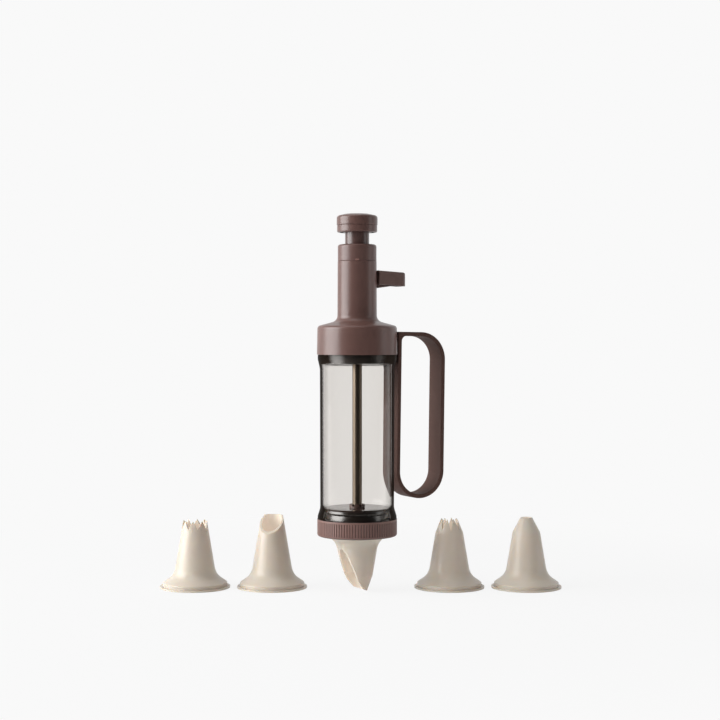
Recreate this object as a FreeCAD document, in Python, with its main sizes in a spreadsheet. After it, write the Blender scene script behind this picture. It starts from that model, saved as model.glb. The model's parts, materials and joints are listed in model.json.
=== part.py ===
import FreeCAD, Part
import math
import os
import Sketcher
from types import SimpleNamespace

# Pastry syringe with a pump knob, a D handle, a clear barrel and five nozzles.
# Millimetres. The origin is on the barrel's axis, in the plane of the fitted nozzle's tip.
# +Z points up the barrel to the knob, and X runs along the row of loose nozzles.

SIZES = {
    # Fitted nozzle and the shell that all five nozzles share
    "fitted_nozzle_length": 48.4,
    "nozzle_rim_reach": 2.2,
    "nozzle_rim_thickness": 1.3,
    "nozzle_step_radius": 25.2,
    "nozzle_step_height": 2.8,
    "nozzle_throat_radius": 16.35,
    "nozzle_throat_height": 10.2,
    "nozzle_bell_rounding": 13.0,
    "nozzle_cone_slope": 0.168,
    "nozzle_wall": 1.4,
    "fitted_nose_height": 12.8,
    "fitted_nose_taper": 2.4,
    "fitted_nose_rounding": 6.0,
    "fitted_tip_edge": 1.1,
    "fitted_cut_foot_reach": 1.0,
    "fitted_cut_foot_height": 2.3,
    "fitted_cut_foot_rounding": 4.0,
    "fitted_cut_bend_reach": 4.4,
    "fitted_cut_bend_height": 9.3,
    "fitted_cut_low_slope": 0.35,
    "fitted_cut_high_slope": 2.5,
    "fitted_cut_rounding": 9.0,
    "fitted_azimuth": -152.0,
    # Loose nozzles, standing on their rims beside the syringe
    "left_spare_place": 66.7,
    "right_spare_place": 72.2,
    "spare_spacing": 60.4,
    "spare_setback": 18.1,
    "open_star_length": 53.3,
    "open_star_tooth": 7.6,
    "open_star_azimuth": 18.5,
    "closed_star_length": 54.6,
    "closed_star_tooth": 9.8,
    "closed_star_azimuth": 5.5,
    "closed_star_bend_height": 43.0,
    "closed_star_tip_radius": 6.1,
    "closed_star_bend_rounding": 14.0,
    "star_teeth": 8,
    "oblique_length": 56.6,
    "oblique_cut_height": 13.4,
    "oblique_cut_slope": 0.9,
    "oblique_azimuth": -105.5,
    "round_length": 54.9,
    "round_bend_height": 43.4,
    "round_tip_radius": 4.6,
    "round_hole_radius": 3.3,
    "round_bend_rounding": 8.0,
    # Barrel
    "barrel_length": 142.0,
    "barrel_bore_radius": 25.7,
    "barrel_foot_radius": 28.5,
    "barrel_head_radius": 28.8,
    "barrel_neck_radius": 28.0,
    "barrel_neck_length": 7.6,
    "barrel_collar_radius": 30.5,
    "barrel_foot_collar": 1.8,
    "barrel_foot_flare": 6.4,
    "barrel_head_collar": 3.2,
    "barrel_head_flare": 7.4,
    "gasket_thickness": 1.5,
    "nozzle_gasket_width": 3.6,
    # Threads at both ends of the barrel
    "thread_lead": 4.0,
    "head_thread_height": 5.0,
    "thread_depth": 0.85,
    "thread_root_width": 1.6,
    "thread_crest_width": 0.9,
    "thread_gap": 0.2,
    # Locking ring
    "ring_radius": 30.8,
    "ring_height": 13.05,
    "ring_skirt": 5.35,
    "ring_lip_thickness": 2.6,
    "ring_rounding": 1.5,
    "ring_plain_band": 1.4,
    "ring_grip_start": 1.6,
    "ring_grooves": 90,
    "ring_groove_depth": 0.5,
    "ring_groove_half_width": 0.52,
    # Shoulder and neck, one moulding
    "shoulder_foot_radius": 31.1,
    "shoulder_top_radius": 30.7,
    "shoulder_side_height": 21.9,
    "shoulder_cover": 9.1,
    "shoulder_crown_height": 4.2,
    "shoulder_ledge_radius": 26.0,
    "shoulder_room": 19.8,
    "neck_foot_radius": 15.25,
    "neck_top_radius": 15.07,
    "neck_bore_radius": 13.0,
    "neck_height": 72.1,
    "neck_floor_height": 12.0,
    # Collar on the neck, and the bush in it
    "collar_radius": 14.95,
    "collar_height": 12.9,
    "collar_top_thickness": 2.0,
    "collar_spigot_length": 7.8,
    "collar_bore_radius": 11.2,
    "collar_lug_radius": 1.2,
    "collar_lug_height": 1.8,
    "collar_lug_reach": 0.85,
    "collar_mark_length": 3.2,
    "collar_mark_height": 1.3,
    "collar_mark_rise": 0.45,
    "collar_turn": 45.0,
    "seam_rounding": 0.4,
    # Pump stem and knob
    "stem_radius": 9.3,
    "stem_bore_radius": 5.0,
    "stem_cup_radius": 12.0,
    "stem_cup_height": 8.5,
    "stem_top_below_cap": 3.9,
    "pump_stroke": 8.2,
    "knob_gap": 9.3,
    "knob_base_radius": 15.5,
    "knob_base_height": 5.6,
    "knob_cap_overhang": 0.3,
    "knob_cap_height": 9.1,
    "knob_dome": 2.0,
    "knob_wall": 1.9,
    "spring_seat_thickness": 2.4,
    "spring_seat_radius": 12.4,
    "spring_seat_groove": 0.6,
    "return_spring_gap": 1.9,
    "return_spring_wire": 0.7,
    "return_spring_turns": 7,
    # Rod and piston
    "rod_radius": 3.7,
    "rod_top_above_plate": 2.3,
    "rod_screw_depth": 12.0,
    "piston_height": 13.6,
    "piston_lift": 1.2,
    "piston_flange": 1.4,
    "piston_core_radius": 22.5,
    "hub_radius": 6.0,
    "hub_crown_height": 2.6,
    "hub_floor": 3.0,
    "hub_notches": 6,
    "piston_screw_head": 1.2,
    # Gripping plates and the cage that holds them
    "plate_thickness": 1.8,
    "plate_tilt": 3.4,
    "plate_hole_play": 0.12,
    "drive_spring_room": 2.0,
    "drive_spring_gap": 2.0,
    "drive_spring_wire": 0.3,
    "drive_spring_turns": 2,
    "brake_spring_gap": 5.0,
    "brake_spring_wire": 0.4,
    "brake_spring_turns": 2,
    "drive_plate_radius": 10.4,
    "brake_plate_back": 19.0,
    "brake_plate_front": 15.0,
    "brake_plate_half_width": 7.0,
    "brake_rest_reach": 2.5,
    "cage_floor": 1.5,
    "cage_wall": 1.5,
    "cage_depth": 26.2,
    "cage_pivot_height": 4.5,
    "cage_post_circle": 19.0,
    "cage_post_radius": 3.8,
    "cage_posts": 4,
    "cage_screw_radius": 1.4,
    "cage_screw_bite": 3.5,
    "wiper_width": 2.3,
    "wiper_height": 1.8,
    "wiper_lip": 0.8,
    # Release tab
    "tab_start": 15.5,
    "tab_end": 39.6,
    "tab_half_width": 7.5,
    "tab_height": 10.8,
    "tab_drop": 1.35,
    "tab_wall": 1.4,
    "tab_top_below_seam": 7.0,
    "tab_corner": 3.0,
    "tab_top_rounding": 1.6,
    "tab_edge": 0.4,
    "tab_rib_depth": 2.9,
    "tab_web_half_width": 2.9,
    "tab_bar_thickness": 1.0,
    "tab_web_drop": 3.6,
    "tab_web_height": 8.4,
    "tab_press": 1.9,
    # Handle
    "handle_azimuth": 28.0,
    "handle_lean": 0.9,
    "handle_face": 31.45,
    "handle_reach": 42.5,
    "handle_drop": 130.0,
    "handle_top_below_crown": 4.3,
    "handle_width": 19.5,
    "handle_thickness": 3.2,
    "handle_top_corner": 21.5,
    "handle_root_corner": 4.2,
    "handle_edge": 0.8,
    "handle_tongue": 1.7,
    "handle_screw_radius": 1.3,
    "handle_screw_half_spacing": 4.5,
    "handle_screw_reach": 8.5,
    "handle_tongue_height": 5.0,
    # Clearances
    "running_fit": 0.06,
    "slide_gap": 0.3,
    "screw_gap": 0.03,
}

doc = FreeCAD.newDocument("PastrySyringe")
sheet = doc.addObject("Spreadsheet::Sheet", "Sizes")
for row, (alias, number) in enumerate(SIZES.items(), start=1):
    sheet.set(f"A{row}", alias)
    sheet.set(f"B{row}", str(number))
    sheet.setAlias(f"B{row}", alias)
doc.recompute()


class Size:
    """A size of the model: the formula over the sheet that gives it, and the number it gives now."""

    def __init__(self, formula, number):
        self.formula = formula
        self.number = number

    def __add__(self, other):
        other = as_size(other)
        return Size(f"({self.formula} + {other.formula})", self.number + other.number)

    def __sub__(self, other):
        other = as_size(other)
        return Size(f"({self.formula} - {other.formula})", self.number - other.number)

    def __mul__(self, other):
        other = as_size(other)
        return Size(f"({self.formula} * {other.formula})", self.number * other.number)

    def __truediv__(self, other):
        other = as_size(other)
        return Size(f"({self.formula} / {other.formula})", self.number / other.number)

    def __radd__(self, other):
        return as_size(other) + self

    def __rsub__(self, other):
        return as_size(other) - self

    def __rmul__(self, other):
        return as_size(other) * self

    def __rtruediv__(self, other):
        return as_size(other) / self

    def __neg__(self):
        return as_size(0.0) - self


def as_size(value):
    if isinstance(value, Size):
        return value
    return Size(f"{value:.6g}", float(value))


def tangent(angle):
    return Size(f"tan({angle.formula} * 1 deg)", math.tan(math.radians(angle.number)))


def sine(angle):
    return Size(f"sin({angle.formula} * 1 deg)", math.sin(math.radians(angle.number)))


def cosine(angle):
    return Size(f"cos({angle.formula} * 1 deg)", math.cos(math.radians(angle.number)))


S = SimpleNamespace(**{alias: Size(f"Sizes.{alias}", float(sheet.get(alias))) for alias in SIZES})
ZERO = as_size(0.0)


# Helpers that draw and cut

def new_body(label):
    body = doc.addObject("PartDesign::Body", label)
    body.Label = label
    return body


def origin_feature(body, role):
    return [feature for feature in body.Origin.OriginFeatures if feature.Role == role][0]


def bind(feature, prop, size):
    feature.setExpression(prop, as_size(size).formula)


def new_sketch(body, role, offset=ZERO, tilt_axis=None, tilt=ZERO):
    """A sketch on one of the body's own planes, moved off it by the offset or tilted about an axis."""
    sketch = body.newObject("Sketcher::SketchObject", "Sketch")
    sketch.AttachmentSupport = [(origin_feature(body, role), "")]
    sketch.MapMode = "FlatFace"
    if tilt_axis:
        spin = FreeCAD.Rotation(FreeCAD.Vector(*tilt_axis), tilt.number)
        sketch.AttachmentOffset = FreeCAD.Placement(FreeCAD.Vector(), spin)
        bind(sketch, "AttachmentOffset.Rotation.Angle", tilt)
    if offset.number != 0.0:
        bind(sketch, "AttachmentOffset.Base.z", offset)
    return sketch


def pin_point(sketch, curve, place, x, y):
    for axis, value, line in (("DistanceX", x, -2), ("DistanceY", y, -1)):
        if value is None:
            continue
        if value.formula == "0":
            sketch.addConstraint(Sketcher.Constraint("PointOnObject", curve, place, line))
        else:
            rule = Sketcher.Constraint(axis, -1, 1, curve, place, value.number)
            bind(sketch, f"Constraints[{sketch.addConstraint(rule)}]", value)


def draw_outline(sketch, points):
    """A closed outline of straight lines through the points, each point tied to its sizes."""
    corners = [(as_size(x), as_size(y)) for x, y in points]
    places = [FreeCAD.Vector(x.number, y.number, 0) for x, y in corners]
    first = sketch.GeometryCount
    count = len(corners)
    for index in range(count):
        line = Part.LineSegment(places[index], places[(index + 1) % count])
        sketch.addGeometry(line, False)
    for index in range(count):
        after = first + (index + 1) % count
        sketch.addConstraint(Sketcher.Constraint("Coincident", first + index, 2, after, 1))
    for index, (x, y) in enumerate(corners):
        pin_point(sketch, first + index, 1, x, y)


def draw_rounded_box(sketch, low_x, low_y, high_x, high_y, roundings):
    """A box with rounded corners, anticlockwise from the low left one. A rounding of None stays sharp."""
    corners = ((low_x, low_y, 1, 1), (high_x, low_y, -1, 1), (high_x, high_y, -1, -1), (low_x, high_y, 1, -1))
    ends = []
    for index, ((x, y, side_x, side_y), rounding) in enumerate(zip(corners, roundings)):
        x, y = as_size(x), as_size(y)
        if rounding is None:
            ends.append(((x, y), (x, y)))
            continue
        rounding = as_size(rounding)
        centre_x, centre_y = x + side_x * rounding, y + side_y * rounding
        on_side, on_level = (x, centre_y), (centre_x, y)
        ends.append((on_side, on_level) if index % 2 == 0 else (on_level, on_side))
    lines = []
    for index in range(4):
        start, end = ends[index][1], ends[(index + 1) % 4][0]
        start, end = (FreeCAD.Vector(x.number, y.number, 0) for x, y in (start, end))
        lines.append(sketch.addGeometry(Part.LineSegment(start, end), False))
    for index, ((x, y, side_x, side_y), rounding) in enumerate(zip(corners, roundings)):
        before, after = lines[index - 1], lines[index]
        if rounding is None:
            sketch.addConstraint(Sketcher.Constraint("Coincident", before, 2, after, 1))
            pin_point(sketch, after, 1, *ends[index][1])
            continue
        centre_x = as_size(x) + side_x * as_size(rounding)
        centre_y = as_size(y) + side_y * as_size(rounding)
        circle = Part.Circle(FreeCAD.Vector(centre_x.number, centre_y.number, 0), FreeCAD.Vector(0, 0, 1),
                             as_size(rounding).number)
        start_angle = math.pi * (1 + index / 2)
        arc = sketch.addGeometry(Part.ArcOfCircle(circle, start_angle, start_angle + math.pi / 2), False)
        pin_point(sketch, arc, 3, centre_x, centre_y)
        pin_point(sketch, arc, 1, *ends[index][0])
        if index % 2 == 0:
            pin_point(sketch, arc, 2, centre_x, None)
        else:
            pin_point(sketch, arc, 2, None, centre_y)
        sketch.addConstraint(Sketcher.Constraint("Coincident", before, 2, arc, 1))
        sketch.addConstraint(Sketcher.Constraint("Coincident", arc, 2, after, 1))


def draw_circle(sketch, x, y, radius):
    x, y, radius = as_size(x), as_size(y), as_size(radius)
    centre = FreeCAD.Vector(x.number, y.number, 0)
    circle = Part.Circle(centre, FreeCAD.Vector(0, 0, 1), radius.number)
    curve = sketch.addGeometry(circle, False)
    rule = sketch.addConstraint(Sketcher.Constraint("Radius", curve, radius.number))
    bind(sketch, f"Constraints[{rule}]", radius)
    pin_point(sketch, curve, 3, x, y)


def turn(body, points, cut=False, lying=False):
    """A solid or a groove, turned about Z (about X if lying) from a half section's (radius, height) points."""
    sketch = new_sketch(body, "XZ_Plane")
    draw_outline(sketch, [(height, radius) for radius, height in points] if lying else points)
    kind = "PartDesign::Groove" if cut else "PartDesign::Revolution"
    feature = body.newObject(kind, "Turned")
    feature.Profile = sketch
    feature.ReferenceAxis = (sketch, ["H_Axis" if lying else "V_Axis"])
    feature.Angle = 360
    doc.recompute()
    return feature


def extrude(body, role, draw, length, offset=ZERO, cut=False, both_ways=True, tilt_axis=None, tilt=ZERO):
    """A pad or a pocket of what draw puts in the sketch, half to each side or all the way the plane faces."""
    sketch = new_sketch(body, role, offset, tilt_axis, tilt)
    draw(sketch)
    feature = body.newObject("PartDesign::Pocket" if cut else "PartDesign::Pad", "Extruded")
    feature.Profile = sketch
    feature.SideType = "Symmetric" if both_ways else "One side"
    feature.Reversed = cut and not both_ways
    bind(feature, "Length", length)
    doc.recompute()
    if cut and abs(feature.Shape.Volume - feature.BaseFeature.Shape.Volume) < 1e-6:
        raise ValueError(f"a pocket of {body.Label} cuts nothing")
    return feature


def side_outline(*points):
    return lambda sketch: draw_outline(sketch, points)


def round_outline(x, y, radius):
    return lambda sketch: draw_circle(sketch, x, y, radius)


def box_outline(low_x, low_y, high_x, high_y):
    return side_outline((low_x, low_y), (high_x, low_y), (high_x, high_y), (low_x, high_y))


def repeat_around(body, feature, count):
    """Copies of a feature spread evenly about Z."""
    pattern = body.newObject("PartDesign::PolarPattern", "Around")
    pattern.Originals = [feature]
    pattern.Axis = (origin_feature(body, "Z_Axis"), [""])
    pattern.Angle = 360
    bind(pattern, "Occurrences", count)
    body.Tip = pattern
    doc.recompute()
    return pattern


def round_circles(body, places, radius):
    """Fillets the circular edges about Z that lie at the given (radius, height) places."""
    wanted = [(as_size(r).number, as_size(z).number) for r, z in places]
    names = []
    for index, edge in enumerate(body.Tip.Shape.Edges, start=1):
        if not isinstance(edge.Curve, Part.Circle):
            continue
        centre = edge.Curve.Center
        if centre.x ** 2 + centre.y ** 2 > 1e-4:
            continue
        if any(abs(edge.Curve.Radius - r) < 0.01 and abs(centre.z - z) < 0.01 for r, z in wanted):
            names.append(f"Edge{index}")
    return add_fillet(body, names, radius)


def round_lines(body, chosen, radius):
    """Fillets the edges for which chosen(middle, direction) is true."""
    names = []
    for index, edge in enumerate(body.Tip.Shape.Edges, start=1):
        start, end = edge.ParameterRange
        middle = edge.valueAt((start + end) / 2)
        direction = edge.tangentAt((start + end) / 2)
        if chosen(middle, direction):
            names.append(f"Edge{index}")
    return add_fillet(body, names, radius)


def add_fillet(body, names, radius):
    if not names:
        raise ValueError(f"no edge to round on {body.Label}")
    rounded = body.Tip
    fillet = body.newObject("PartDesign::Fillet", "Rounded")
    fillet.Base = (rounded, names)
    bind(fillet, "Radius", radius)
    body.Tip = fillet
    doc.recompute()
    if not fillet.isValid() or fillet.Shape.isNull():
        raise ValueError(f"{body.Label} has a rounding that failed: {fillet.getStatusString()}")
    return fillet


def add_ridge(body, root_radius, depth, start, lead, height):
    """One thread ridge about Z. It stands out from the root for a positive depth, else inwards."""
    sketch = new_sketch(body, "XZ_Plane")
    foot = root_radius - depth * 0.2
    crest = root_radius + depth
    draw_outline(sketch, [
        (foot, start - S.thread_root_width / 2),
        (crest, start - S.thread_crest_width / 2),
        (crest, start + S.thread_crest_width / 2),
        (foot, start + S.thread_root_width / 2),
    ])
    ridge = body.newObject("PartDesign::AdditiveHelix", "Ridge")
    ridge.Profile = sketch
    ridge.ReferenceAxis = (sketch, ["V_Axis"])
    ridge.Mode = "pitch-height-angle"
    bind(ridge, "Pitch", lead)
    bind(ridge, "Height", height)
    doc.recompute()
    return ridge


def coil_spring(label, mean_radius, wire_radius, low, high, turns):
    """A coil of round wire about Z that fills the height from low to high."""
    body = new_body(label)
    sketch = new_sketch(body, "XZ_Plane")
    draw_circle(sketch, mean_radius, low + wire_radius, wire_radius)
    coil = body.newObject("PartDesign::AdditiveHelix", "Coil")
    coil.Profile = sketch
    coil.ReferenceAxis = (sketch, ["V_Axis"])
    coil.Mode = "height-turns-angle"
    bind(coil, "Height", high - low - 2 * wire_radius)
    bind(coil, "Turns", turns)
    doc.recompute()
    return body


def place(body, x=ZERO, y=ZERO, z=ZERO, azimuth=ZERO):
    """Puts a body at its place, turned about Z by the azimuth."""
    spin = FreeCAD.Rotation(FreeCAD.Vector(0, 0, 1), azimuth.number)
    body.Placement = FreeCAD.Placement(FreeCAD.Vector(), spin)
    bind(body, ".Placement.Rotation.Angle", azimuth)
    for axis, value in (("x", x), ("y", y), ("z", z)):
        bind(body, f".Placement.Base.{axis}", value)


# Levels up the axis, each from the one below it

rim_plane = S.fitted_nozzle_length
barrel_foot = rim_plane + S.gasket_thickness
barrel_top = barrel_foot + S.barrel_length
ring_foot = rim_plane - S.ring_skirt
ring_top = ring_foot + S.ring_height
thread_margin = S.thread_root_width / 2 + S.slide_gap
foot_thread = barrel_foot + thread_margin
foot_thread_height = ring_top - barrel_foot - 2 * thread_margin
shoulder_foot = barrel_top - S.shoulder_cover
shoulder_corner = shoulder_foot + S.shoulder_side_height
crown_top = shoulder_corner + S.shoulder_crown_height
shoulder_ledge = barrel_top + S.gasket_thickness
shoulder_roof = shoulder_foot + S.shoulder_room
neck_floor = shoulder_roof + S.neck_floor_height
collar_seam = shoulder_foot + S.neck_height
collar_top = collar_seam + S.collar_height
spigot_foot = collar_seam - S.collar_spigot_length
knob_foot = collar_top + S.knob_gap
knob_seam = knob_foot + S.knob_base_height
knob_top = knob_seam + S.knob_cap_height
cap_ceiling = knob_top - S.knob_wall
cage_foot = shoulder_roof - S.cage_depth
cage_floor_top = cage_foot + S.cage_floor
brake_pivot = cage_floor_top + S.cage_pivot_height
cup_top = shoulder_roof - S.slide_gap
cup_foot = cup_top - S.stem_cup_height
piston_foot = barrel_foot + S.piston_lift
piston_top = piston_foot + S.piston_height

shoulder_bore = S.barrel_neck_radius + S.thread_depth + S.thread_gap
rim_radius = S.nozzle_step_radius + S.nozzle_rim_reach
knob_cap_radius = S.knob_base_radius + S.knob_cap_overhang
plate_hole = S.rod_radius + S.plate_hole_play
post_side = S.cage_post_circle * math.sqrt(0.5)
cage_radius = S.barrel_bore_radius - S.slide_gap


# Nozzles

def cone_radius(height):
    """The outside of the cone that all nozzles share, this far above the rim's face."""
    return S.nozzle_throat_radius - S.nozzle_cone_slope * (height - S.nozzle_throat_height)


def nozzle_body(label, tip, inner_tip, way=1):
    """Rim, step, bell and cone, then the tip points. It stands on its rim, or hangs from it if way is -1."""
    wall = S.nozzle_wall
    step_top = S.nozzle_rim_thickness + S.nozzle_step_height
    inner_throat = S.nozzle_throat_radius - wall
    inner_step = S.nozzle_step_radius - wall
    body = new_body(label)
    section = [
        (inner_step, ZERO),
        (rim_radius, ZERO),
        (rim_radius, S.nozzle_rim_thickness),
        (S.nozzle_step_radius, S.nozzle_rim_thickness),
        (S.nozzle_step_radius, step_top),
        (S.nozzle_throat_radius, S.nozzle_throat_height),
        *tip,
        *reversed(inner_tip),
        (inner_throat, S.nozzle_throat_height - wall),
        (inner_step, step_top - wall),
    ]
    turn(body, [(radius, height if way == 1 else -height) for radius, height in section])
    round_circles(body, [(S.nozzle_throat_radius, way * S.nozzle_throat_height),
                         (inner_throat, way * (S.nozzle_throat_height - wall))], S.nozzle_bell_rounding)
    round_circles(body, [(S.nozzle_step_radius, way * step_top)], S.nozzle_rim_thickness / 2)
    return body


def plain_tip(length):
    """Tip points of a cone that is cut off square."""
    return [(cone_radius(length), length)], [(cone_radius(length) - S.nozzle_wall, length)]


def cut_star(body, length, depth, tip_radius):
    """V notches that leave a ring of pointed teeth."""
    half_width = tip_radius * tangent(180.0 / S.star_teeth)
    overshoot = S.nozzle_wall
    notch = extrude(body, "XZ_Plane", side_outline(
        (ZERO, length - depth),
        (half_width * (1 + overshoot / depth), length + overshoot),
        (-half_width * (1 + overshoot / depth), length + overshoot),
    ), rim_radius, cut=True, both_ways=False)
    repeat_around(body, notch, S.star_teeth)


def fitted_nozzle():
    """One curved cut opens a side of the tip and leaves a tongue. It hangs tip down from the locking ring."""
    length = S.fitted_nozzle_length
    bend_height, wall = length - S.fitted_nose_height, S.nozzle_wall
    side, tip = cone_radius(bend_height), cone_radius(length) - S.fitted_nose_taper
    body = nozzle_body("fitted_nozzle", [(side, bend_height), (tip, length)],
                       [(side - wall, bend_height), (tip - wall, length)], way=-1)
    round_circles(body, [(side, -bend_height), (side - wall, -bend_height)], S.fitted_nose_rounding)
    round_circles(body, [(tip, -length)], S.fitted_tip_edge)
    throat = S.nozzle_throat_radius
    foot, foot_level = -S.fitted_cut_foot_reach, S.fitted_cut_foot_height - length
    bend, bend_level = S.fitted_cut_bend_reach, S.fitted_cut_bend_height - length
    extrude(body, "XZ_Plane", side_outline(
        (bend, bend_level),
        (foot, foot_level),
        (-throat, foot_level - S.fitted_cut_low_slope * (throat + foot)),
        (-throat, -(length + throat)),
        (throat, -(length + throat)),
        (throat, bend_level + S.fitted_cut_high_slope * (throat - bend)),
    ), 2 * rim_radius, cut=True)
    for level, rounding in ((foot_level, S.fitted_cut_foot_rounding), (bend_level, S.fitted_cut_rounding)):
        round_lines(body, lambda middle, along: abs(along.y) > 0.99 and abs(middle.z - level.number) < 0.01,
                    rounding)
    place(body, z=rim_plane, azimuth=S.fitted_azimuth)
    return body


def open_star_nozzle():
    length = S.open_star_length
    body = nozzle_body("spare_nozzle_open_star", *plain_tip(length))
    cut_star(body, length, S.open_star_tooth, cone_radius(length))
    place(body, x=-(S.left_spare_place + S.spare_spacing), y=S.spare_setback, azimuth=S.open_star_azimuth)
    return body


def oblique_nozzle():
    """A steep cut opens one side of the tip."""
    length = S.oblique_length
    body = nozzle_body("spare_nozzle_oblique", *plain_tip(length))
    run = S.oblique_cut_height / S.oblique_cut_slope
    outside = cone_radius(length - S.oblique_cut_height)
    extrude(body, "XZ_Plane", side_outline(
        (outside - run - 1.0 / S.oblique_cut_slope, length + 1.0),
        (outside + run, length - 2 * S.oblique_cut_height),
        (rim_radius, length - 2 * S.oblique_cut_height),
        (rim_radius, length + 1.0),
    ), 2 * rim_radius, cut=True)
    place(body, x=-S.left_spare_place, y=S.spare_setback, azimuth=S.oblique_azimuth)
    return body


def closed_star_nozzle():
    length = S.closed_star_length
    bend = S.closed_star_bend_height
    wall = S.nozzle_wall
    body = nozzle_body(
        "spare_nozzle_closed_star",
        [(cone_radius(bend), bend), (S.closed_star_tip_radius, length)],
        [(cone_radius(bend) - wall, bend), (S.closed_star_tip_radius - wall, length)])
    round_circles(body, [(cone_radius(bend), bend), (cone_radius(bend) - wall, bend)],
                  S.closed_star_bend_rounding)
    cut_star(body, length, S.closed_star_tooth, S.closed_star_tip_radius)
    place(body, x=S.right_spare_place, y=S.spare_setback, azimuth=S.closed_star_azimuth)
    return body


def round_nozzle():
    length = S.round_length
    bend = S.round_bend_height
    wall = S.nozzle_wall
    hole = S.round_hole_radius
    body = nozzle_body(
        "spare_nozzle_round",
        [(cone_radius(bend), bend), (S.round_tip_radius, length)],
        [(cone_radius(bend) - wall, bend - wall), (hole, length - 2 * wall), (hole, length)])
    round_circles(body, [(cone_radius(bend), bend)], S.round_bend_rounding)
    round_circles(body, [(S.round_tip_radius, length)], (S.round_tip_radius - hole) * 0.8)
    place(body, x=S.right_spare_place + S.spare_spacing, y=S.spare_setback)
    return body


# Barrel, its gaskets and the locking ring

def gasket(label, inner, outer, foot):
    body = new_body(label)
    top = foot + S.gasket_thickness
    turn(body, [(inner, foot), (outer, foot), (outer, top), (inner, top)])
    return body


def barrel():
    body = new_body("barrel")
    bore = S.barrel_bore_radius
    neck = S.barrel_neck_radius
    collar = S.barrel_collar_radius
    foot_collar = ring_top + S.slide_gap
    foot_flare = foot_collar + S.barrel_foot_collar
    head_collar = shoulder_foot - S.slide_gap
    head_flare = head_collar - S.barrel_head_collar
    foot_end = foot_flare + S.barrel_foot_flare
    head_end = head_flare - S.barrel_head_flare
    turn(body, [
        (bore, barrel_foot),
        (neck, barrel_foot),
        (neck, foot_collar),
        (collar, foot_collar),
        (collar, foot_flare),
        (S.barrel_foot_radius, foot_end),
        (S.barrel_head_radius, head_end),
        (collar, head_flare),
        (collar, head_collar),
        (neck, head_collar),
        (neck, barrel_top),
        (bore, barrel_top),
    ])
    round_circles(body, [(collar, foot_flare), (collar, head_flare)], S.barrel_foot_flare * 0.8)
    round_circles(body, [(S.barrel_foot_radius, foot_end), (S.barrel_head_radius, head_end)],
                  S.barrel_foot_flare * 1.6)
    add_ridge(body, neck, S.thread_depth, foot_thread, S.thread_lead, foot_thread_height)
    add_ridge(body, neck, S.thread_depth, barrel_top - thread_margin - S.head_thread_height, S.thread_lead,
              S.head_thread_height)
    return body


def locking_ring():
    body = new_body("locking_ring")
    bore = shoulder_bore
    lip_top = rim_plane - S.nozzle_rim_thickness
    lip_foot = lip_top - S.ring_lip_thickness
    lip_hole = S.nozzle_step_radius + S.slide_gap
    skirt = rim_radius + S.slide_gap
    turn(body, [
        (skirt, ring_foot),
        (S.ring_radius, ring_foot),
        (S.ring_radius, ring_top),
        (bore, ring_top),
        (bore, barrel_foot),
        (skirt, rim_plane),
        (skirt, lip_top),
        (lip_hole, lip_top),
        (lip_hole, lip_foot),
        (skirt, lip_foot),
    ])
    round_circles(body, [(S.ring_radius, ring_foot)], S.ring_rounding)
    groove_foot = S.ring_radius - S.ring_groove_depth
    groove = extrude(body, "XY_Plane", side_outline(
        (groove_foot, ZERO),
        (S.ring_radius + S.ring_groove_depth, S.ring_groove_half_width * 2),
        (S.ring_radius + S.ring_groove_depth, -S.ring_groove_half_width * 2),
    ), S.ring_height - S.ring_plain_band - S.ring_grip_start, offset=ring_foot + S.ring_grip_start,
        cut=True, both_ways=False)
    repeat_around(body, groove, S.ring_grooves)
    half_turn = S.thread_lead / 2
    add_ridge(body, bore, -S.thread_depth, foot_thread + half_turn, S.thread_lead,
              foot_thread_height - half_turn)
    return body


# Rod and piston

def rod():
    body = new_body("rod")
    foot = piston_foot + 2 * S.piston_flange + S.hub_floor
    bore = S.rod_radius / 2
    turn(body, [
        (bore, foot),
        (S.rod_radius, foot),
        (S.rod_radius, rod_top),
        (ZERO, rod_top),
        (ZERO, foot + S.rod_screw_depth),
        (bore, foot + S.rod_screw_depth),
    ])
    round_circles(body, [(S.rod_radius, rod_top)], S.rod_radius / 5)
    return body


def piston_hub():
    body = new_body("piston_hub")
    foot = piston_foot + 2 * S.piston_flange
    top = piston_top + S.hub_crown_height
    bore = S.rod_radius + S.screw_gap
    turn(body, [
        (S.rod_radius / 2, foot),
        (S.hub_radius, foot),
        (S.hub_radius, top),
        (bore, top),
        (bore, foot + S.hub_floor),
        (S.rod_radius / 2, foot + S.hub_floor),
    ])
    notch_depth = S.hub_crown_height / 2
    half_width = S.hub_radius / 6
    slot = box_outline(-half_width, top - notch_depth, half_width, top + notch_depth)
    notch = extrude(body, "YZ_Plane", slot, S.hub_radius * 2, cut=True, both_ways=False)
    repeat_around(body, notch, S.hub_notches)
    return body


def piston_disc():
    """Two flanges on a core, with the hub's pocket above and the screw's counterbore below."""
    body = new_body("piston_disc")
    flange = S.piston_flange
    radius = S.barrel_bore_radius - S.slide_gap
    pocket = S.hub_radius + S.screw_gap
    turn(body, [
        (S.rod_radius + 0.4, piston_foot),
        (radius, piston_foot),
        (radius, piston_foot + flange),
        (S.piston_core_radius, piston_foot + flange),
        (S.piston_core_radius, piston_top - flange),
        (radius, piston_top - flange),
        (radius, piston_top),
        (pocket, piston_top),
        (pocket, piston_foot + 2 * flange),
        (S.rod_radius / 2, piston_foot + 2 * flange),
        (S.rod_radius / 2, piston_foot + flange),
        (S.rod_radius + 0.4, piston_foot + flange),
    ])
    return body


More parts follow.
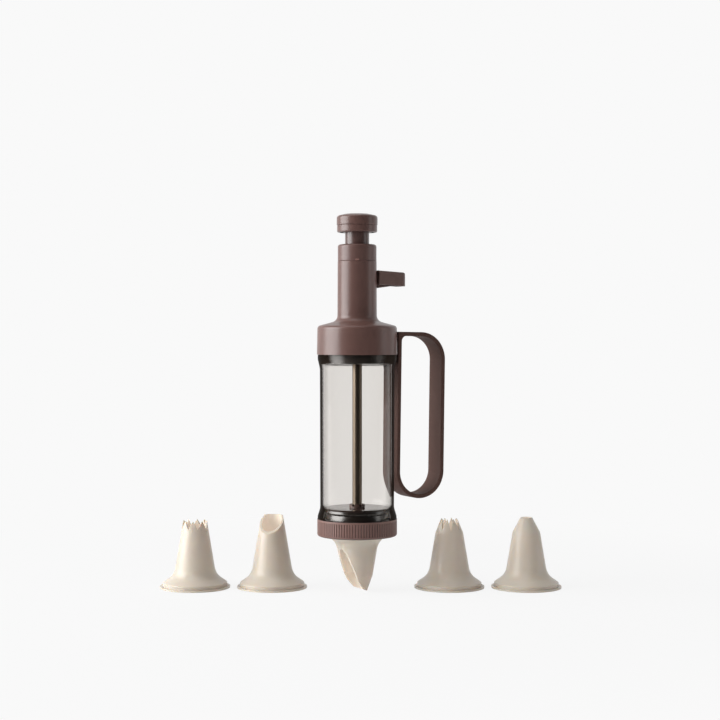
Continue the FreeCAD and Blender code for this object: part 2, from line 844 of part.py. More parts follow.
def piston_seal():
    """A soft ring with a lip above and a lip below that wipe the bore."""
    body = new_body("piston_seal")
    inner = S.piston_core_radius
    lip = S.barrel_bore_radius - S.running_fit
    waist = S.piston_core_radius + (S.barrel_bore_radius - S.piston_core_radius) * 0.55
    foot = piston_foot + S.piston_flange
    top = piston_top - S.piston_flange
    band = (top - foot) / 6
    turn(body, [
        (inner, foot),
        (lip, foot),
        (lip, foot + band),
        (waist, foot + 2 * band),
        (waist, top - 2 * band),
        (lip, top - band),
        (lip, top),
        (inner, top),
    ])
    return body


def piston_screw():
    body = new_body("piston_screw")
    seat = piston_foot + S.piston_flange
    shank = S.rod_radius / 2 - S.screw_gap
    tip = seat + S.piston_flange + S.hub_floor + S.rod_screw_depth - S.thread_root_width / 2
    turn(body, [
        (ZERO, seat - S.piston_screw_head),
        (S.rod_radius, seat - S.piston_screw_head),
        (S.rod_radius, seat),
        (shank, seat),
        (shank, tip),
        (ZERO, tip),
    ])
    return body


# Upper housing, cage and fasteners

def upper_housing():
    """Shoulder, neck and the floor between them, with the seats that the other pieces take."""
    body = new_body("upper_housing")
    crown_foot_radius = S.neck_foot_radius
    stem_hole = S.stem_radius + S.slide_gap
    turn(body, [
        (shoulder_bore, shoulder_foot),
        (S.shoulder_foot_radius, shoulder_foot),
        (S.shoulder_top_radius, shoulder_corner),
        (crown_foot_radius, crown_top),
        (S.neck_top_radius, collar_seam),
        (S.neck_bore_radius, collar_seam),
        (S.neck_bore_radius, neck_floor),
        (stem_hole, neck_floor),
        (stem_hole, shoulder_roof),
        (S.shoulder_ledge_radius, shoulder_roof),
        (S.shoulder_ledge_radius, shoulder_ledge),
        (shoulder_bore, shoulder_ledge),
    ])
    round_circles(body, [(crown_foot_radius, crown_top)], S.neck_bore_radius * 0.42)
    round_circles(body, [(S.shoulder_top_radius, shoulder_corner)], S.nozzle_step_height)
    round_circles(body, [(S.neck_top_radius, collar_seam)], S.seam_rounding)
    cut_tab_slot(body)
    cut_collar_groove(body)
    cut_handle_seat(body)
    hole_radius = S.cage_screw_radius + S.screw_gap
    screws = extrude(body, "XY_Plane", round_outline(post_side, post_side, hole_radius),
                     S.cage_screw_bite, offset=shoulder_roof, cut=True, both_ways=False)
    repeat_around(body, screws, S.cage_posts)
    half_turn = S.thread_lead / 2
    start = barrel_top - thread_margin - S.head_thread_height
    add_ridge(body, shoulder_bore, -S.thread_depth, start + half_turn, S.thread_lead,
              S.head_thread_height - half_turn)
    place(body, azimuth=S.handle_azimuth)
    return body


def cut_tab_slot(body):
    """A window for the tab's rib, and a channel in the neck's wall for its bar."""
    width = 2 * (S.tab_web_half_width + S.slide_gap / 2)
    inside = S.neck_bore_radius - S.slide_gap
    top = web_top + S.slide_gap
    window = box_outline(inside, web_foot - S.tab_press - S.slide_gap, 2 * S.neck_bore_radius, top)
    extrude(body, "XZ_Plane", window, width, cut=True)
    channel = box_outline(inside, shoulder_roof - S.slide_gap, bar_back + S.slide_gap / 3, top)
    extrude(body, "XZ_Plane", channel, width, cut=True)


def cut_collar_groove(body):
    groove = S.neck_bore_radius + S.collar_lug_reach + S.slide_gap
    low = lug_foot - S.slide_gap
    high = lug_foot + S.collar_lug_height + S.slide_gap
    turn(body, [
        (S.neck_bore_radius - 0.5, low),
        (groove, low),
        (groove, high),
        (S.neck_bore_radius - 0.5, high),
    ], cut=True)
    half = S.collar_lug_radius + S.slide_gap * 2
    extrude(body, "XY_Plane", box_outline(-groove, -half, groove, half), collar_seam - low,
            offset=low, cut=True, both_ways=False)


def cut_handle_seat(body):
    """A pocket for the handle's tongue, and two screw holes that start inside the shoulder."""
    tongue_face = S.handle_face - S.handle_tongue
    half = S.handle_screw_half_spacing + 2 * S.handle_screw_radius
    extrude(body, "YZ_Plane", box_outline(-half - S.slide_gap / 2, tongue_foot - S.slide_gap / 2,
                                          half + S.slide_gap / 2, tongue_top + S.slide_gap / 2),
            S.handle_tongue + 2.0, offset=tongue_face - S.slide_gap, cut=True, both_ways=False)

    def screw_circles(radius):
        def draw(sketch):
            for side in (-1, 1):
                draw_circle(sketch, side * S.handle_screw_half_spacing, screw_level, radius)
        return draw

    extrude(body, "YZ_Plane", screw_circles(S.handle_screw_radius + S.screw_gap), S.handle_face,
            cut=True, both_ways=False)
    extrude(body, "YZ_Plane", screw_circles(2 * S.handle_screw_radius), head_seat,
            cut=True, both_ways=False)


def mechanism_cage():
    """A cup under the roof that carries the brake plate, with four posts for its screws."""
    body = new_body("mechanism_cage")
    inner = cage_radius - S.cage_wall
    wiper = S.rod_radius + S.wiper_width
    turn(body, [
        (S.rod_radius + S.slide_gap, cage_foot),
        (cage_radius, cage_foot),
        (cage_radius, shoulder_roof),
        (inner, shoulder_roof),
        (inner, cage_floor_top),
        (wiper + S.cage_wall, cage_floor_top),
        (wiper + S.cage_wall, cage_floor_top + S.cage_wall),
        (wiper, cage_floor_top + S.cage_wall),
        (wiper, cage_foot + S.cage_floor / 2),
        (S.rod_radius + S.slide_gap, cage_foot + S.cage_floor / 2),
    ])
    hole_radius = S.cage_screw_radius + S.screw_gap
    post = extrude(body, "XY_Plane", round_outline(post_side, post_side, S.cage_post_radius),
                   S.cage_depth, offset=cage_foot, both_ways=False)
    repeat_around(body, post, S.cage_posts)
    hole = extrude(body, "XY_Plane", round_outline(post_side, post_side, hole_radius),
                   S.cage_depth, offset=cage_foot, cut=True, both_ways=False)
    repeat_around(body, hole, S.cage_posts)
    head = extrude(body, "XY_Plane", round_outline(post_side, post_side, 2 * hole_radius),
                   S.cage_screw_radius * 1.5, offset=cage_foot, cut=True, both_ways=False)
    repeat_around(body, head, S.cage_posts)
    clear = S.plate_thickness / 2 + S.slide_gap
    rest = box_outline(-(inner + S.cage_wall / 2), -S.brake_plate_half_width / 2,
                       S.brake_rest_reach - S.brake_plate_back, S.brake_plate_half_width / 2)
    for low, high in ((cage_floor_top - S.cage_floor / 2, brake_pivot - clear),
                      (brake_pivot + clear, brake_pivot + 2 * clear)):
        extrude(body, "XY_Plane", rest, high - low, offset=low, both_ways=False)
    place(body, azimuth=S.handle_azimuth)
    return body


def screw_group(label, count, section, locate, lying=False):
    """Separate equal screws in one node: a turned body each, put where locate says, joined as a compound."""
    pieces = []
    for index in range(count):
        body = new_body(f"{label}_{index + 1}")
        turn(body, section, lying=lying)
        x, y, azimuth = locate(index)
        place(body, x=x, y=y, azimuth=azimuth)
        pieces.append(body)
    group = doc.addObject("Part::Compound", label)
    group.Label = label
    group.Links = pieces
    doc.recompute()
    return group


def cage_screws():
    """Screws that hold the cage up against the shoulder's roof."""
    count = int(S.cage_posts.number)
    radius = S.cage_screw_radius
    head_top = cage_foot + radius * 1.5
    tip = shoulder_roof + S.cage_screw_bite - S.slide_gap

    def locate(index):
        azimuth = S.handle_azimuth + 45.0 + 360.0 * index / S.cage_posts
        return S.cage_post_circle * cosine(azimuth), S.cage_post_circle * sine(azimuth), azimuth

    return screw_group("cage_screws", count, [
        (ZERO, head_top - radius),
        (2 * radius, head_top - radius),
        (2 * radius, head_top),
        (radius, head_top),
        (radius, tip),
        (ZERO, tip),
    ], locate)


def handle_screws():
    """Two screws that run outwards along the handle's plane, heads inside the shoulder."""
    radius = S.handle_screw_radius
    head = 2 * radius - S.slide_gap
    tip = S.handle_face + S.handle_screw_reach - S.slide_gap

    def locate(index):
        side = S.handle_screw_half_spacing * (2 * index - 1)
        return -side * sine(S.handle_azimuth), side * cosine(S.handle_azimuth), S.handle_azimuth

    group = screw_group("handle_screws", 2, [
        (ZERO, head_seat - radius),
        (head, head_seat - radius),
        (head, head_seat),
        (radius, head_seat),
        (radius, tip),
        (ZERO, tip),
    ], locate, lying=True)
    for piece in group.Links:
        bind(piece, ".Placement.Base.z", screw_level)
    doc.recompute()
    return group


def rod_wiper():
    body = new_body("rod_wiper")
    inner = S.rod_radius + S.running_fit
    outer = S.rod_radius + S.wiper_width - S.screw_gap
    foot = cage_foot + S.cage_floor / 2
    turn(body, [
        (inner, foot),
        (outer, foot),
        (outer, foot + S.wiper_height),
        (inner + S.wiper_lip, foot + S.wiper_height),
        (inner, foot + S.wiper_height - S.wiper_lip),
    ])
    return body


# Plates, stem, knob and collar

def drive_plate():
    body = new_body("drive_plate")
    turn(body, [
        (plate_hole, drive_plate_foot),
        (S.drive_plate_radius, drive_plate_foot),
        (S.drive_plate_radius, drive_plate_foot + S.plate_thickness),
        (plate_hole, drive_plate_foot + S.plate_thickness),
    ])
    return body


def brake_plate():
    """A strip that pivots on its back edge. At rest its front is tipped up and grips the rod."""
    body = new_body("brake_plate")

    def strip(sketch):
        draw_outline(sketch, [
            (-S.brake_plate_back, -S.brake_plate_half_width),
            (S.brake_plate_front, -S.brake_plate_half_width),
            (S.brake_plate_front, S.brake_plate_half_width),
            (-S.brake_plate_back, S.brake_plate_half_width),
        ])
        draw_circle(sketch, ZERO, ZERO, plate_hole)

    lift = S.brake_plate_back * tangent(S.plate_tilt)
    extrude(body, "XY_Plane", strip, S.plate_thickness, tilt_axis=(0, 1, 0), tilt=-S.plate_tilt)
    place(body, z=brake_pivot + lift, azimuth=S.handle_azimuth)
    return body


def plunger_stem():
    """The hollow stem, with a cup at its foot for the drive plate and a step for the plate to tip on."""
    body = new_body("plunger_stem")
    cup = S.stem_cup_radius
    inner = S.drive_plate_radius + S.slide_gap
    turn(body, [
        (inner, cup_foot),
        (cup, cup_foot),
        (cup, cup_top),
        (S.stem_radius, cup_top),
        (S.stem_radius, stem_top),
        (S.stem_bore_radius, stem_top),
        (S.stem_bore_radius, cup_ceiling),
        (inner, cup_ceiling),
    ])
    turn(body, [
        (S.stem_radius - S.spring_seat_groove, seat_foot),
        (S.spring_seat_radius, seat_foot),
        (S.spring_seat_radius, seat_foot + S.spring_seat_thickness),
        (S.stem_radius - S.spring_seat_groove, seat_foot + S.spring_seat_thickness),
    ], cut=True)
    tip = extrude(body, "XZ_Plane", box_outline(-inner - 0.5, drive_plate_top + S.screw_gap,
                                                -S.drive_plate_radius + 2.0, cup_ceiling + 0.5),
                  4.0 * S.plate_thickness)
    place(body, azimuth=S.handle_azimuth)
    return body


def plate_retainer():
    body = new_body("plate_retainer")
    turn(body, [
        (S.stem_bore_radius, cup_foot),
        (S.drive_plate_radius + S.slide_gap, cup_foot),
        (S.drive_plate_radius + S.slide_gap, cup_foot + retainer_thickness),
        (S.stem_bore_radius, cup_foot + retainer_thickness),
    ])
    return body


def spring_seat():
    body = new_body("spring_seat")
    turn(body, [
        (S.stem_radius - S.spring_seat_groove, seat_foot),
        (S.spring_seat_radius, seat_foot),
        (S.spring_seat_radius, seat_foot + S.spring_seat_thickness),
        (S.stem_radius - S.spring_seat_groove, seat_foot + S.spring_seat_thickness),
    ])
    return body


def collar():
    """Twist-lock collar: two lugs turn in the neck's groove, and a raised mark shows the lock."""
    body = new_body("collar")
    spigot = S.neck_bore_radius - S.running_fit
    turn(body, [
        (S.collar_bore_radius, spigot_foot),
        (spigot, spigot_foot),
        (spigot, collar_seam),
        (S.collar_radius, collar_seam),
        (S.collar_radius, collar_top),
        (S.stem_radius + S.slide_gap, collar_top),
        (S.stem_radius + S.slide_gap, collar_top - S.collar_top_thickness),
        (S.collar_bore_radius, collar_top - S.collar_top_thickness),
    ])
    round_circles(body, [(S.collar_radius, collar_top)], S.collar_top_thickness)
    round_circles(body, [(S.collar_radius, collar_seam)], S.seam_rounding)
    lug_place = S.neck_bore_radius + S.collar_lug_reach - S.collar_lug_radius
    lug_azimuth = S.handle_azimuth - S.collar_turn
    peg = round_outline(lug_place * cosine(lug_azimuth), lug_place * sine(lug_azimuth), S.collar_lug_radius)
    lug = extrude(body, "XY_Plane", peg, S.collar_lug_height, offset=lug_foot, both_ways=False)
    repeat_around(body, lug, as_size(2))
    half_length, half_height = S.collar_mark_length / 2, S.collar_mark_height / 2
    level = collar_seam + half_height + S.slide_gap / 3

    def mark(sketch):
        draw_rounded_box(sketch, -half_length, level - half_height, half_length, level + half_height,
                         (half_height - 0.02,) * 4)

    extrude(body, "XZ_Plane", mark, S.collar_mark_rise * 3, offset=S.collar_radius - S.collar_mark_rise * 2,
            both_ways=False)
    return body


def stem_bush():
    body = new_body("stem_bush")
    inner = S.stem_radius + S.running_fit
    outer = S.collar_bore_radius - S.screw_gap
    turn(body, [
        (inner, spigot_foot),
        (outer, spigot_foot),
        (outer, collar_top - S.collar_top_thickness),
        (inner, collar_top - S.collar_top_thickness),
    ])
    return body


def knob_base():
    """The lower half of the knob, hollow underneath, with a socket for the stem."""
    body = new_body("knob_base")
    socket = S.stem_radius + S.screw_gap
    rim = S.knob_base_radius - S.knob_wall
    spigot = knob_cap_radius - S.knob_wall - S.screw_gap
    turn(body, [
        (socket, knob_foot),
        (socket + S.knob_wall, knob_foot),
        (socket + S.knob_wall, knob_foot + S.knob_wall),
        (rim, knob_foot + S.knob_wall),
        (rim, knob_foot),
        (S.knob_base_radius, knob_foot),
        (S.knob_base_radius, knob_seam),
        (spigot, knob_seam),
        (spigot, knob_seam + S.knob_wall),
        (spigot - S.knob_wall, knob_seam + S.knob_wall),
        (spigot - S.knob_wall, knob_seam),
        (socket, knob_seam),
    ])
    round_circles(body, [(S.knob_base_radius, knob_foot)], S.knob_wall / 2)
    round_circles(body, [(S.knob_base_radius, knob_seam)], S.seam_rounding)
    return body


def knob_cap():
    """A domed cap that closes the knob. The rod's end rises into it."""
    body = new_body("knob_cap")
    inner = knob_cap_radius - S.knob_wall
    turn(body, [
        (inner, knob_seam),
        (knob_cap_radius, knob_seam),
        (knob_cap_radius, knob_top - S.knob_dome),
        (knob_cap_radius * 0.6, knob_top - S.knob_dome / 4),
        (ZERO, knob_top),
        (ZERO, cap_ceiling),
        (inner, cap_ceiling),
    ])
    round_circles(body, [(knob_cap_radius, knob_top - S.knob_dome)], S.knob_wall * 1.2)
    round_circles(body, [(knob_cap_radius, knob_seam)], S.seam_rounding)
    return body


# Release tab and handle

def release_tab():
    """A hollow thumb tab with a rib below, whose thin bar runs down the neck to the brake plate."""
    body = new_body("release_tab")
    start, end = S.tab_start, S.tab_end
    wall = S.tab_wall
    slope = S.tab_drop / (end - start)

    def at(x, depth):
        return (x, tab_top - slope * (x - start) - depth)

    deep = S.tab_height + S.tab_rib_depth + 1.0
    extrude(body, "XZ_Plane", side_outline(
        at(start, ZERO), at(end, ZERO), at(end, S.tab_height), at(start, S.tab_height)), 2 * S.tab_half_width)
    round_lines(body, lambda middle, along: abs(along.z) > 0.9 and middle.x > end.number - 1.0, S.tab_corner)
    round_lines(body, lambda middle, along: abs(along.y) > 0.9 and middle.x > end.number - 1.0
                and middle.z > tab_top.number - S.tab_height.number / 2, S.tab_top_rounding)
    round_lines(body, lambda middle, along: abs(along.y) > 0.9 and middle.x > end.number - 1.0
                and middle.z < tab_top.number - S.tab_height.number / 2, S.tab_edge)
    extrude(body, "XZ_Plane", side_outline(
        at(start + wall, wall), at(end - wall, wall), at(end - wall, deep), at(start + wall, deep)),
        2 * (S.tab_half_width - wall), cut=True)
    extrude(body, "XZ_Plane", side_outline(
        at(start + wall / 2, wall / 2), at(end - wall / 2, wall / 2),
        at(end - wall / 2, S.tab_height - wall), at(start + wall / 2, S.tab_height + S.tab_rib_depth)), wall)
    extrude(body, "XZ_Plane", side_outline(
        (bar_front, bar_foot), (bar_back, bar_foot), (bar_back, web_foot), (start + wall, web_foot),
        (start + wall, web_top), (bar_front, web_top)), 2 * S.tab_web_half_width)
    place(body, azimuth=S.handle_azimuth)
    return body


def handle():
    """A flat band bent into a loop. Its own origin is the top of the strip that lies on the shoulder."""
    body = new_body("handle")
    reach, drop, band = S.handle_reach, S.handle_drop, S.handle_thickness
    foot = reach / 2 - 0.05

    def loop(sketch):
        draw_rounded_box(sketch, ZERO, -drop, reach, ZERO, (foot, foot, S.handle_top_corner, None))
        draw_rounded_box(sketch, band, band - drop, reach - band, -band,
                         (foot - band, foot - band, S.handle_top_corner - band, S.handle_root_corner))

    extrude(body, "XZ_Plane", loop, S.handle_width, tilt_axis=(0, 0, 1), tilt=-S.handle_lean)
    half_width = S.handle_width.number / 2
    round_lines(body, lambda middle, along: abs(abs(middle.y) - half_width) < 0.01, S.handle_edge)
    half = S.handle_screw_half_spacing + 2 * S.handle_screw_radius
    extrude(body, "YZ_Plane", box_outline(-half, tongue_foot - handle_top, half, tongue_top - handle_top),
            S.handle_tongue + 0.5, offset=-S.handle_tongue, both_ways=False)

    def screw_circles(sketch):
        for side in (-1, 1):
            draw_circle(sketch, side * S.handle_screw_half_spacing, screw_level - handle_top,
                        S.handle_screw_radius + S.screw_gap)

    extrude(body, "YZ_Plane", screw_circles, S.handle_tongue + S.handle_screw_reach,
            offset=-S.handle_tongue, cut=True, both_ways=False)
    place(body, x=S.handle_face * cosine(S.handle_azimuth), y=S.handle_face * sine(S.handle_azimuth),
          z=handle_top, azimuth=S.handle_azimuth)
    return body


# Levels and reaches that more than one of the pieces above share

stem_top = knob_top - S.stem_top_below_cap
seat_foot = spigot_foot - S.slide_gap - S.spring_seat_thickness
retainer_thickness = S.piston_flange
drive_plate_foot = cup_foot + retainer_thickness + S.drive_spring_room
drive_plate_top = drive_plate_foot + S.plate_thickness
cup_ceiling = drive_plate_top + 2 * S.drive_plate_radius * tangent(S.plate_tilt) + S.slide_gap
rod_top = drive_plate_top + S.rod_top_above_plate
brake_spring_reach = S.rod_radius + S.brake_spring_gap
brake_spring_side = brake_spring_reach + 1.2 * S.brake_spring_wire
brake_spring_top = (brake_pivot - S.plate_thickness / 2
                    + (S.brake_plate_back - brake_spring_side) * tangent(S.plate_tilt))
lug_foot = spigot_foot + 1.8
tab_top = collar_seam - S.tab_top_below_seam
web_top = tab_top - S.tab_web_drop
web_foot = web_top - S.tab_web_height
bar_front = S.neck_bore_radius + S.slide_gap / 3
bar_back = bar_front + S.tab_bar_thickness
plate_front_rise = (S.brake_plate_back + bar_back) * tangent(S.plate_tilt)
bar_foot = brake_pivot + S.plate_thickness / 2 + plate_front_rise + S.slide_gap / 3
handle_top = shoulder_corner - S.handle_top_below_crown
screw_level = handle_top - S.handle_thickness / 2
tongue_top = handle_top - S.slide_gap * 2
tongue_foot = tongue_top - S.handle_tongue_height
head_seat = S.shoulder_ledge_radius + S.handle_screw_radius + 2 * S.slide_gap

parts = [
    knob_cap(),
    knob_base(),
    plunger_stem(),
    spring_seat(),
    coil_spring("return_spring", S.stem_radius + S.return_spring_gap, S.return_spring_wire,
                neck_floor, seat_foot, S.return_spring_turns),
    collar(),
    stem_bush(),
    plate_retainer(),
    coil_spring("drive_plate_spring", S.stem_bore_radius + S.drive_spring_gap, S.drive_spring_wire,
                cup_foot + retainer_thickness, drive_plate_foot, S.drive_spring_turns),
    drive_plate(),
    brake_plate(),
    coil_spring("brake_spring", brake_spring_reach, S.brake_spring_wire,
                cage_floor_top, brake_spring_top, S.brake_spring_turns),
    mechanism_cage(),
    cage_screws(),
    rod_wiper(),
    release_tab(),
    upper_housing(),
    handle(),
    handle_screws(),
    rod(),
    piston_hub(),
    piston_disc(),
    piston_seal(),
    piston_screw(),
    barrel(),
    gasket("barrel_gasket", S.shoulder_ledge_radius + S.slide_gap / 3, S.barrel_neck_radius, barrel_top),
    locking_ring(),
    gasket("nozzle_gasket", rim_radius - S.nozzle_gasket_width, rim_radius, rim_plane),
    fitted_nozzle(),
    open_star_nozzle(),
    oblique_nozzle(),
    closed_star_nozzle(),
    round_nozzle(),
]

doc.recompute()
for item in doc.Objects:
    if "Invalid" in item.State or "Error" in item.State:
        raise ValueError(f"{item.Label} is {item.State}")
for piece in parts:
    if piece.Shape.isNull() or not piece.Shape.isValid():
        raise ValueError(f"{piece.Label} has no valid shape")

os.makedirs("parts", exist_ok=True)
for piece in parts:
    piece.Shape.exportStep(f"parts/{piece.Label}.step")
    box = piece.Shape.optimalBoundingBox()
    reach = "".join(f"  {low:7.2f} {high:7.2f}" for low, high in (
        (box.XMin, box.XMax), (box.YMin, box.YMax), (box.ZMin, box.ZMax)))
    print(f"{piece.Label:28s} solids {len(piece.Shape.Solids)} volume {piece.Shape.Volume:9.1f}{reach}")
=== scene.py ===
import bpy
import json
import math
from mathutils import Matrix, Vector

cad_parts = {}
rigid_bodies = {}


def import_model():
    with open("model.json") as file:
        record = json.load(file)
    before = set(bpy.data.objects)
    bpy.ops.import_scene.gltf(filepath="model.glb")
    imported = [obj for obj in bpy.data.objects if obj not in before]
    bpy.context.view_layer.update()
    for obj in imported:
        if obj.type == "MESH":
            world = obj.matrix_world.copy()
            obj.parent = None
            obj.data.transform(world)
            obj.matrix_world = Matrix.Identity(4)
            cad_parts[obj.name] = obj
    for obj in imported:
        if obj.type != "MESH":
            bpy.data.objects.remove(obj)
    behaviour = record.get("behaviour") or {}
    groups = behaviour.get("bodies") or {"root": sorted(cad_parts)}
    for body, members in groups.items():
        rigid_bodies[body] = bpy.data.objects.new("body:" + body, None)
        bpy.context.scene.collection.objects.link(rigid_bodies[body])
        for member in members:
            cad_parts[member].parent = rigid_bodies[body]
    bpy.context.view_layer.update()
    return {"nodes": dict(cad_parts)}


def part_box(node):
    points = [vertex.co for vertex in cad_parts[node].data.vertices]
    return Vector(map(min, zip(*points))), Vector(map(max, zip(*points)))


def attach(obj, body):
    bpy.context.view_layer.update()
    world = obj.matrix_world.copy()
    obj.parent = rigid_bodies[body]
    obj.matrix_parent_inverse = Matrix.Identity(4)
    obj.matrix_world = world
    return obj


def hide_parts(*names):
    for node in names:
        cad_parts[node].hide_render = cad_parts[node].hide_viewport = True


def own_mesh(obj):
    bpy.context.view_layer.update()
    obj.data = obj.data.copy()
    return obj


# Pastry press with five nozzles, dressed in its plastics, rubber and steel.
# Metres, with the press standing on its nozzle's tip.

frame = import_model()
nodes = frame["nodes"]
print("Frame loaded:", len(nodes), "nodes")


# Parts of a material. Most of them give back the output that the next one takes.

noiseSpread = (0.3, 0.7)  # nearly all values of a noise lie between these two


def feed(tree, node, values):  # gives each named socket a fixed value or another node's output
    for socket, value in values.items():
        if isinstance(value, bpy.types.NodeSocket):
            tree.links.new(value, node.inputs[socket])
        else:
            node.inputs[socket].default_value = value


def addNode(tree, kind, values, operation=None):
    node = tree.nodes.new(kind)
    if operation:
        node.operation = operation
    feed(tree, node, values)
    return node


def startMaterial(name):
    material = bpy.data.materials.new(name)
    material.use_nodes = True
    tree = material.node_tree
    tree.nodes.clear()
    shader = tree.nodes.new("ShaderNodeBsdfPrincipled")
    addNode(tree, "ShaderNodeOutputMaterial", {"Surface": shader.outputs["BSDF"]})
    return material, tree, shader


def outputOf(tree):
    return next(node for node in tree.nodes if node.bl_idname == "ShaderNodeOutputMaterial")


def objectPlace(tree):
    return tree.nodes.new("ShaderNodeTexCoord").outputs["Object"]


def addAxis(tree, place, axis):
    return addNode(tree, "ShaderNodeSeparateXYZ", {"Vector": place}).outputs[axis]


def addMath(tree, operation, first, second):
    return addNode(tree, "ShaderNodeMath", {0: first, 1: second}, operation).outputs["Value"]


def addVectorMath(tree, operation, values):
    return addNode(tree, "ShaderNodeVectorMath", values, operation).outputs


def addFlat(tree, place):  # drops the height, so that only what lies across the press is left
    return addVectorMath(tree, "MULTIPLY", {0: place, 1: (1.0, 1.0, 0.0)})["Vector"]


def addAxisDistance(tree):
    return addVectorMath(tree, "LENGTH", {0: addFlat(tree, objectPlace(tree))})["Value"]


def addRange(tree, value, source, target, smooth=False):
    spread = addNode(tree, "ShaderNodeMapRange", {
        "Value": value, "From Min": source[0], "From Max": source[1],
        "To Min": target[0], "To Max": target[1]})
    if smooth:
        spread.interpolation_type = "SMOOTHSTEP"
    return spread.outputs["Result"]


def addRamp(tree, factor, stops):  # each stop is a position and a colour, from low to high
    ramp = addNode(tree, "ShaderNodeValToRGB", {"Fac": factor})
    elements = ramp.color_ramp.elements
    for count, (position, colour) in enumerate(stops):
        stop = elements[count] if count < len(elements) else elements.new(position)
        stop.position = position
        stop.color = (*colour, 1.0)
    return ramp.outputs["Color"]


def addTones(tree, factor, dark, light, spread=noiseSpread):
    return addRamp(tree, factor, ((spread[0], dark), (spread[1], light)))


def addNoise(tree, scale, detail, stretch=(1.0, 1.0, 1.0), breakup=0.5):
    place = addNode(tree, "ShaderNodeMapping", {"Vector": objectPlace(tree), "Scale": stretch})
    noise = addNode(tree, "ShaderNodeTexNoise", {
        "Vector": place.outputs["Vector"], "Scale": scale, "Detail": detail, "Roughness": breakup})
    return noise.outputs["Fac"]


def addBump(tree, shader, height, depth, under=None):
    bump = addNode(tree, "ShaderNodeBump", {"Strength": 1.0, "Distance": depth, "Height": height})
    if under:
        tree.links.new(under, bump.inputs["Normal"])
    tree.links.new(bump.outputs["Normal"], shader.inputs["Normal"])
    return bump.outputs["Normal"]


def addMix(tree, share, first, second):
    return addNode(tree, "ShaderNodeMixShader", {0: share, 1: first, 2: second}).outputs["Shader"]


def shadeOf(colour, amount):
    return tuple(min(1.0, channel * amount) for channel in colour)


def grey(brightness):
    return (brightness, brightness, brightness, 1.0)


def dress(names, material):
    for name in names:
        for slot in nodes[name].material_slots:
            slot.material = material


# Moulded plastics: cloudy colour, flow streaks along the draw, a fine mould grain and patchy gloss

def mouldedPlastic(name, finish):
    material, tree, shader = startMaterial(name)
    cloud = addNoise(tree, finish["cloudScale"], finish["cloudDetail"])
    darkest = shadeOf(finish["colour"], 1 - finish["cloudDepth"])
    lightest = shadeOf(finish["colour"], 1 + finish["cloudDepth"])
    tones = addTones(tree, cloud, darkest, lightest)
    # painted shade in low places and painted highlight on raised ones, by distance from the axis
    if "paintedShadeRadii" in finish:
        tones = addPaintedRadiusShade(tree, tones, finish)
    patches = addNoise(tree, finish["patchScale"], finish["patchDetail"], finish["patchStretch"])
    glossiest, dullest = (finish["roughness"] + way * finish["patchDepth"] for way in (-1, 1))
    gloss = addRange(tree, patches, noiseSpread, (glossiest, dullest))
    feed(tree, shader, {"Base Color": tones, "Roughness": gloss, "IOR": finish["ior"]})
    waves = addNoise(tree, finish["waveScale"], finish["waveDetail"], finish["waveStretch"])
    soft = addBump(tree, shader, waves, finish["waveDepth"])
    grain = addNoise(tree, finish["grainScale"], finish["grainDetail"])
    addBump(tree, shader, grain, finish["grainDepth"], soft)
    if "glow" in finish:
        feed(tree, shader, {"Subsurface Weight": finish["glow"], "Subsurface Radius": finish["glowRadius"],
                            "Subsurface Scale": 1.0})
    # painted light: the inside faces glow with emission, though they are no lamp
    if "paintedGlow" in finish:
        feed(tree, shader, {"Emission Color": (*finish["paintedGlowColour"], 1.0),
                            "Emission Strength": addPaintedThroughGlow(tree, finish)})
    return material


def addPaintedRadiusShade(tree, tones, finish):  # painted shade and highlight: low places are painted darker, and places that stand proud are painted paler
    shade = addRange(tree, addAxisDistance(tree), finish["paintedShadeRadii"], finish["shades"])
    return addVectorMath(tree, "SCALE", {0: tones, "Scale": shade})["Vector"]


def addPaintedThroughGlow(tree, finish):  # painted glow: emission on the inside faces, standing in for light that comes through the thin wall
    geometry = tree.nodes.new("ShaderNodeNewGeometry").outputs
    outwards = addVectorMath(tree, "SUBTRACT", {0: geometry["Position"], 1: finish["centre"]})["Vector"]
    level = addVectorMath(tree, "NORMALIZE", {0: addFlat(tree, outwards)})["Vector"]
    facing = addVectorMath(tree, "DOT_PRODUCT", {0: level, 1: geometry["Normal"]})["Value"]
    return addRange(tree, facing, finish["inwards"], (0.0, finish["paintedGlow"]))


brownPlastic = {"colour": (0.118, 0.060, 0.050), "cloudScale": 38, "cloudDetail": 3, "cloudDepth": 0.06,
                "roughness": 0.34, "patchScale": 55, "patchDetail": 4, "patchStretch": (1.0, 1.0, 0.35),
                "patchDepth": 0.035, "waveScale": 60, "waveDetail": 1, "waveStretch": (1.0, 1.0, 0.4),
                "waveDepth": 0.00006, "grainScale": 2400, "grainDetail": 3, "grainDepth": 0.000012,
                "ior": 1.55}
dress(["upper_housing"], mouldedPlastic("brownPlastic", brownPlastic))

# Painted shade: the handle is the same brown plastic, painted darker than the housing
shadedHandlePlastic = {**brownPlastic, "colour": (0.088, 0.047, 0.038), "roughness": 0.64, "ior": 1.25}
dress(["handle"], mouldedPlastic("shadedHandlePlastic", shadedHandlePlastic))

tabPlastic = {**brownPlastic, "colour": (0.150, 0.090, 0.078)}
dress(["release_tab"], mouldedPlastic("tabPlastic", tabPlastic))

knobPlastic = {**brownPlastic, "colour": (0.112, 0.058, 0.049), "roughness": 0.31}
dress(["knob_cap", "knob_base"], mouldedPlastic("knobPlastic", knobPlastic))

stemPlastic = {**brownPlastic, "colour": (0.085, 0.046, 0.040), "roughness": 0.28}
dress(["plunger_stem"], mouldedPlastic("stemPlastic", stemPlastic))

# Painted shade: the grooves between the ring's ribs are painted darker, and the rib crests a touch paler
ringPlastic = {**brownPlastic, "colour": (0.172, 0.092, 0.077), "roughness": 0.46, "patchDepth": 0.05,
               "grainDepth": 0.00003, "paintedShadeRadii": (0.0303, 0.0308), "shades": (0.32, 1.06)}
dress(["locking_ring"], mouldedPlastic("ringPlastic", ringPlastic))
